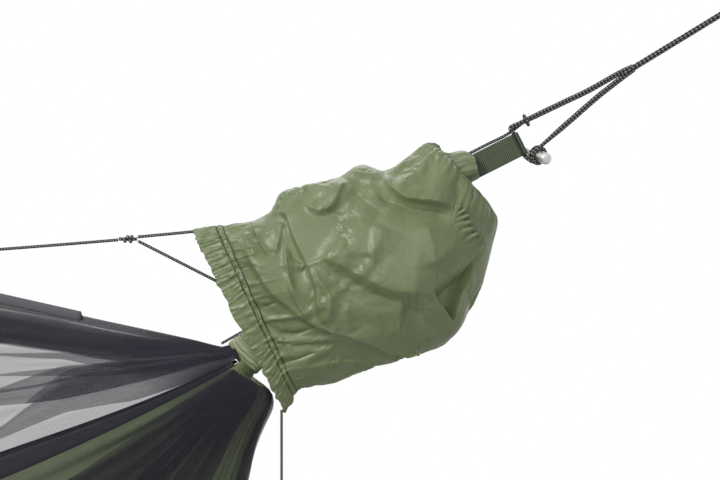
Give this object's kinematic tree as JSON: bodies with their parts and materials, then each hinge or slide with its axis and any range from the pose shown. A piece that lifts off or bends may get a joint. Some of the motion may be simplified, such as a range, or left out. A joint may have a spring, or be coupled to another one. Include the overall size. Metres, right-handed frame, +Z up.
{
  "type": "camping hammock with insect net",
  "caption": "Camping hammock with a sewn-in insect net, ridge cord, entry zip, webbing end loops, suspension ropes with toggles, and a stow sleeve on one end.",
  "frame": {"origin": "centre of the near anchor ring, the ring at the end that has the stow sleeve", "axes": "+X from the hammock towards the near anchor along its length, +Y towards the back, -Y towards the side with the zip, +Z up"},
  "size_m": [3.5423, 0.7224, 1.0831],
  "materials": {
    "black_braid": "braided cord, matt black with light flecks",
    "black_net": "fine knitted net, see-through",
    "black_tape": "woven tape, matt",
    "green_nylon": "light woven nylon, satin",
    "green_webbing": "ribbed webbing, matt",
    "pale_green_nylon": "light woven nylon, shirred, satin",
    "polished_steel": "smooth",
    "turned_aluminium": "turned, plain",
    "zip_nylon": "moulded coil, matt"
  },
  "bodies": {
    "anchors": {"near_anchor_ring": "polished_steel", "far_anchor_ring": "polished_steel"},
    "hammock": {"near_suspension_rope": "black_braid", "near_webbing_loop": "green_webbing", "near_end_channel": "pale_green_nylon", "near_ridge_knot": "black_braid", "near_ridge_upper_leg": "black_braid", "near_ridge_lower_leg": "black_braid", "near_net_tie": "black_braid", "far_suspension_rope": "black_braid", "far_webbing_loop": "green_webbing", "far_end_channel": "pale_green_nylon", "far_ridge_knot": "black_braid", "far_ridge_upper_leg": "black_braid", "far_ridge_lower_leg": "black_braid", "far_net_tie": "black_braid", "bed_front_panel": "green_nylon", "bed_centre_panel": "green_nylon", "bed_back_panel": "green_nylon", "net_front_panel": "black_net", "net_back_panel": "black_net", "net_ridge_tape": "black_tape", "front_zip_tape": "black_tape", "back_edge_tape": "black_tape", "ridge_cord": "black_braid", "hanging_loop_1": "black_braid", "hanging_loop_2": "black_braid", "hanging_loop_3": "black_braid", "hanging_loop_4": "black_braid", "hanging_loop_5": "black_braid", "zip_coil": "zip_nylon", "near_zip_stop": "polished_steel", "far_zip_stop": "polished_steel"},
    "near_toggle": {"near_toggle": "turned_aluminium"},
    "far_toggle": {"far_toggle": "turned_aluminium"},
    "sleeve": {"sleeve_mouth_hem": "green_nylon", "stow_sleeve": "green_nylon", "sleeve_neck_hem": "green_nylon", "sleeve_tail_cord": "black_braid", "sleeve_tail_knot": "black_braid"},
    "zip_slider": {"zip_slider": "polished_steel"},
    "zip_pull": {"zip_pull": "black_tape"}
  },
  "joints": [
    {"name": "hammock_swing", "type": "hinge", "parent": "anchors", "child": "hammock", "pos_m": [0, 0, -0.01042], "axis": [1, 0, 0], "range_deg": [-25, 25]},
    {"name": "near_toggle_slide", "type": "slide", "parent": "hammock", "child": "near_toggle", "axis": [-0.497, 0.8189, 0.287], "range_m": [0, 0.06]},
    {"name": "far_toggle_slide", "type": "slide", "parent": "hammock", "child": "far_toggle", "axis": [0.497, 0.8189, 0.287], "range_m": [0, 0.06]},
    {"name": "sleeve_slide", "type": "slide", "parent": "hammock", "child": "sleeve", "axis": [0.8926, 0, 0.4509], "range_m": [0, 0.03]},
    {"name": "zip_slide", "type": "hinge", "parent": "hammock", "child": "zip_slider", "pos_m": [-1.74865, 1.00776, 0.39537], "axis": [0, 0.6216, -0.7833], "range_deg": [0, 47.4]},
    {"name": "zip_pull_turn", "type": "hinge", "parent": "zip_slider", "child": "zip_pull", "pos_m": [-1.05238, -0.23993, -0.58374], "axis": [-0.402, 0.7173, 0.5692], "range_deg": [0, 150]}
  ]
}
